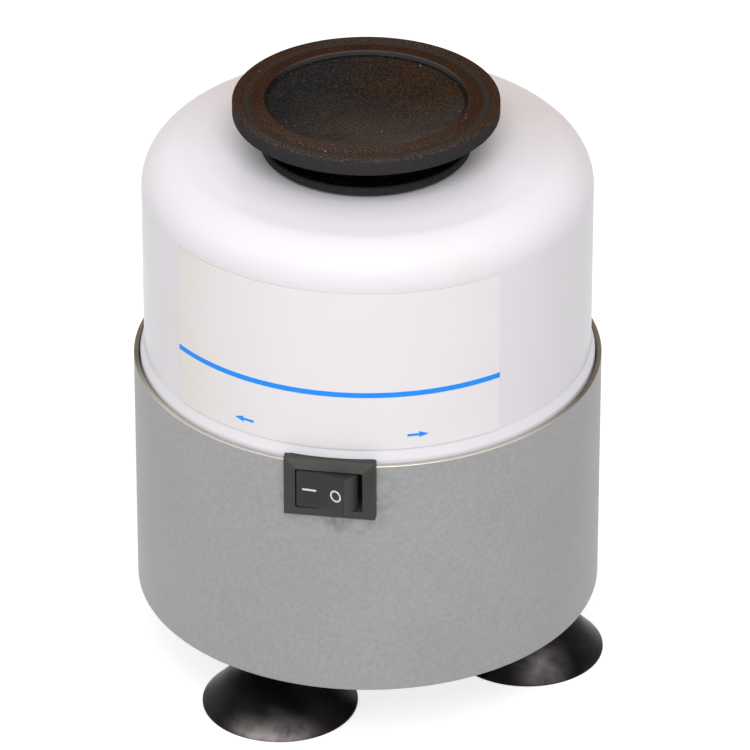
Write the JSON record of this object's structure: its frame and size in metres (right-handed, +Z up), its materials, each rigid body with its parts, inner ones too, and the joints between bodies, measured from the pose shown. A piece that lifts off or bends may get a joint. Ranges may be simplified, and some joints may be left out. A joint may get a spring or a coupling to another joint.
{
  "type": "vortex mixer",
  "caption": "Bench vortex mixer: painted drum and white cover around a small motor that swings a sprung rubber cup, with a rocker switch and suction feet.",
  "frame": {"origin": "on the table under the body's axis, at the plane of the suction feet", "axes": "+Z up along the motor shaft, -Y out of the front through the switch, +X to the right of someone facing it"},
  "size_m": [0.1102, 0.1168, 0.1452],
  "materials": {
    "painted_sheet": "fine-textured silver-grey paint",
    "white_cover": "glossy moulded white",
    "label_film": "satin printed film",
    "cup_rubber": "dusty moulded rubber",
    "foot_rubber": "shiny soft rubber",
    "mount_rubber": "moulded rubber",
    "switch_plastic": "satin black nylon",
    "steel_plate": "zinc-plated sheet",
    "steel_screw": "zinc-plated",
    "bright_steel": "ground",
    "core_steel": "stacked laminations",
    "cast_alloy": "die-cast",
    "turned_alloy": "turned",
    "copper_winding": "varnished copper wire",
    "bronze": "sintered",
    "brass": "bare",
    "guide_plastic": "natural acetal",
    "micro_plastic": "moulded phenolic",
    "button_plastic": "moulded",
    "capacitor_can": "drawn can",
    "block_plastic": "moulded nylon"
  },
  "bodies": {
    "base": {"sleeve": "painted_sheet", "top_cover": "white_cover", "front_label": "label_film", "foot_front_left": "foot_rubber", "foot_right": "foot_rubber", "foot_rear_left": "foot_rubber", "cord_grommet": "mount_rubber", "switch_housing": "switch_plastic", "switch_terminals": "brass", "base_plate": "steel_plate", "cover_spacers": "turned_alloy", "cover_screws": "steel_screw", "foot_studs": "steel_screw", "foot_nuts": "steel_screw", "isolator_front": "mount_rubber", "isolator_rear": "mount_rubber", "isolator_left": "mount_rubber", "isolator_screws": "steel_screw", "motor_plate": "steel_plate", "lower_end_bell": "cast_alloy", "upper_end_bell": "cast_alloy", "stator_core": "core_steel", "stator_windings": "copper_winding", "motor_bolts": "steel_screw", "lower_bush": "bronze", "upper_bush": "bronze", "thrust_washer": "guide_plastic", "plunger_guide": "guide_plastic", "guide_screws": "steel_screw", "return_spring": "bright_steel", "microswitch_body": "micro_plastic", "microswitch_bracket": "steel_plate", "microswitch_screws": "steel_screw", "motor_capacitor": "capacitor_can", "capacitor_clamp": "steel_plate", "capacitor_screw": "steel_screw", "terminal_block": "block_plastic", "terminal_screws": "brass"},
    "plunger": {"touch_plunger": "bright_steel", "thrust_ball": "bright_steel"},
    "rotor": {"motor_shaft": "bright_steel", "rotor_core": "core_steel", "shaft_collar": "bright_steel", "eccentric_hub": "turned_alloy", "hub_set_screw": "steel_screw", "counterweight": "brass", "counterweight_screws": "steel_screw", "eccentric_pin": "bright_steel", "pin_circlip": "bright_steel", "bearing_spacer": "bright_steel", "lower_bearing_inner": "bright_steel", "upper_bearing_inner": "bright_steel"},
    "head": {"head_hub": "turned_alloy", "rubber_cup": "cup_rubber", "lower_bearing_outer": "bright_steel", "upper_bearing_outer": "bright_steel", "lower_bearing_balls": "bright_steel", "upper_bearing_balls": "bright_steel"},
    "button": {"microswitch_button": "button_plastic"},
    "rocker": {"switch_rocker": "switch_plastic"}
  },
  "joints": [
    {"name": "head_press", "type": "slide", "parent": "base", "child": "plunger", "axis": [0, 0, -1], "range_m": [0, 0.0006], "stiffness_N_per_m": 3000, "springref_m": -0.002, "deforming": ["return_spring"]},
    {"name": "rotor_spin", "type": "hinge", "parent": "plunger", "child": "rotor", "pos_m": [0, 0, 0.07], "axis": [0, 0, 1], "continuous": true},
    {"name": "head_orbit", "type": "hinge", "parent": "rotor", "child": "head", "pos_m": [0, -0.002, 0.12], "axis": [0, 0, 1], "continuous": true},
    {"name": "button_press", "type": "slide", "parent": "base", "child": "button", "axis": [0, 0, -1], "range_m": [0, 0.0006]},
    {"name": "rocker_tilt", "type": "hinge", "parent": "base", "child": "rocker", "pos_m": [0, -0.05155, 0.0732], "axis": [0, 0, 1], "range_deg": [0, 31.4]}
  ],
  "couplings": [
    {"joint": "head_orbit", "follows": "rotor_spin", "ratio": -1},
    {"joint": "button_press", "follows": "head_press", "ratio": 1}
  ]
}
